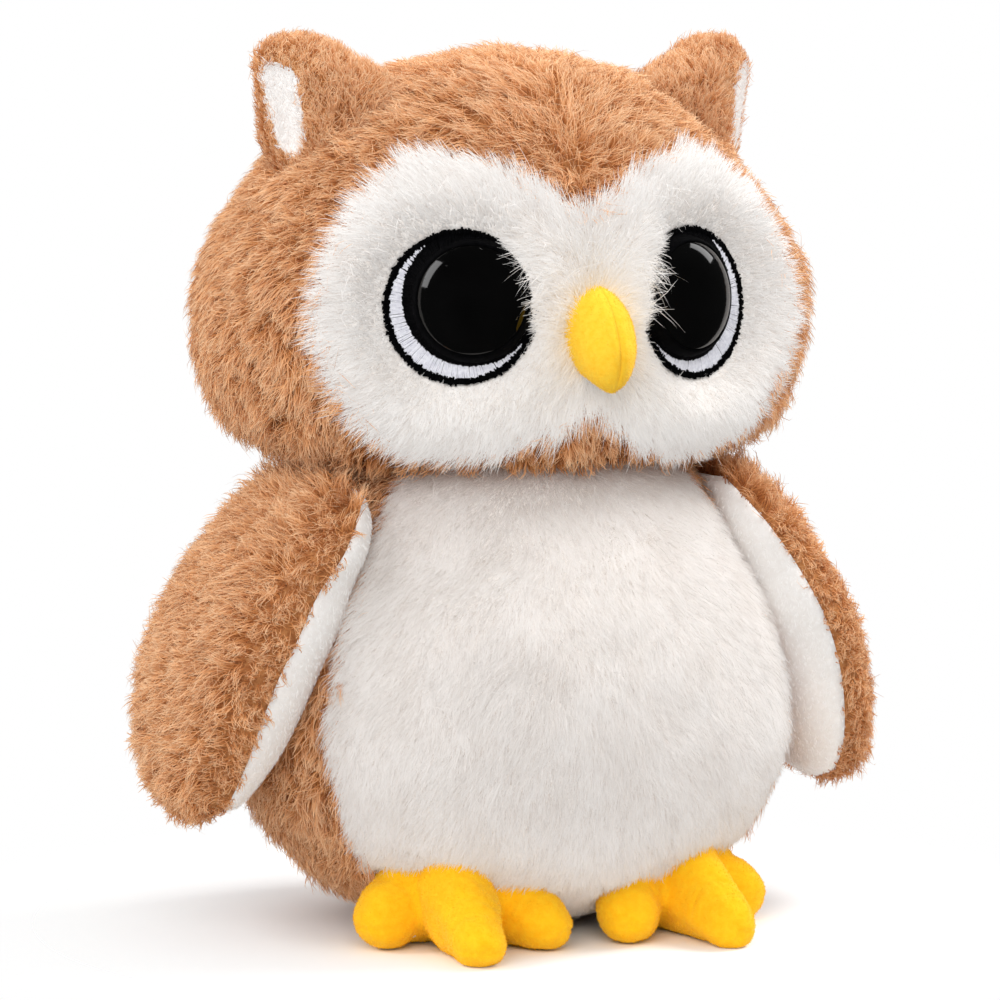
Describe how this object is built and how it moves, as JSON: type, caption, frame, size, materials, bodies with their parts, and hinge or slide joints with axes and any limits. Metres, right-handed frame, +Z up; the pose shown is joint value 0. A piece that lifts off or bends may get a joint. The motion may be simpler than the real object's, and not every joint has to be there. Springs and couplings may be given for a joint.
{
  "type": "plush owl",
  "caption": "Standing stuffed toy owl with a wide round head, upright ears, domed eyes on embroidered patches, a stuffed beak, hinged hanging wings and soft splayed feet.",
  "frame": {"origin": "on the floor, under the middle of the bounding box", "axes": "+Z up; the owl faces -Y; +X is the owl's own left"},
  "size_m": [0.2274, 0.1649, 0.278],
  "materials": {
    "brown_pile": "long shaggy pile, caramel brown with pale peach tips",
    "white_pile": "long soft pile, warm white",
    "white_short_pile": "short dense plush, warm white",
    "yellow_velour": "short brushed velour, golden yellow",
    "embroidery": "satin stitch thread, black with a cool white crescent",
    "eye_plastic": "polished black",
    "washer_plastic": "plain moulded",
    "base_cloth": "flat woven cloth, brown",
    "filling": "polyester fibre filling, unseen",
    "pellets": "cloth bag of plastic pellets, unseen"
  },
  "bodies": {
    "owl": {"head_panel_left": "brown_pile", "head_panel_right": "brown_pile", "face_panel_left": "white_pile", "face_panel_right": "white_pile", "chin_panel": "brown_pile", "head_filling": "filling", "ear_outer_left": "brown_pile", "ear_outer_right": "brown_pile", "ear_inner_left": "white_short_pile", "ear_inner_right": "white_short_pile", "eye_patch_left": "embroidery", "eye_patch_right": "embroidery", "eye_dome_left": "eye_plastic", "eye_dome_right": "eye_plastic", "eye_washer_left": "washer_plastic", "eye_washer_right": "washer_plastic", "beak_panel_left": "yellow_velour", "beak_panel_right": "yellow_velour", "beak_filling": "filling", "body_back_left": "brown_pile", "body_back_right": "brown_pile", "belly_panel": "white_pile", "base_panel": "base_cloth", "body_filling": "filling", "pellet_bag": "pellets", "foot_upper_left": "yellow_velour", "foot_upper_right": "yellow_velour", "foot_sole_left": "yellow_velour", "foot_sole_right": "yellow_velour", "foot_filling_left": "filling", "foot_filling_right": "filling"},
    "wing_left": {"wing_outer_left": "brown_pile", "wing_lining_left": "white_short_pile", "wing_filling_left": "filling"},
    "wing_right": {"wing_outer_right": "brown_pile", "wing_lining_right": "white_short_pile", "wing_filling_right": "filling"}
  },
  "joints": [
    {"name": "wing_left_lift", "type": "hinge", "parent": "owl", "child": "wing_left", "pos_m": [0.064, 0.004, 0.137], "axis": [0, -1, 0], "range_deg": [0, 60]},
    {"name": "wing_right_lift", "type": "hinge", "parent": "owl", "child": "wing_right", "pos_m": [-0.064, 0.004, 0.137], "axis": [0, 1, 0], "range_deg": [0, 60]}
  ]
}
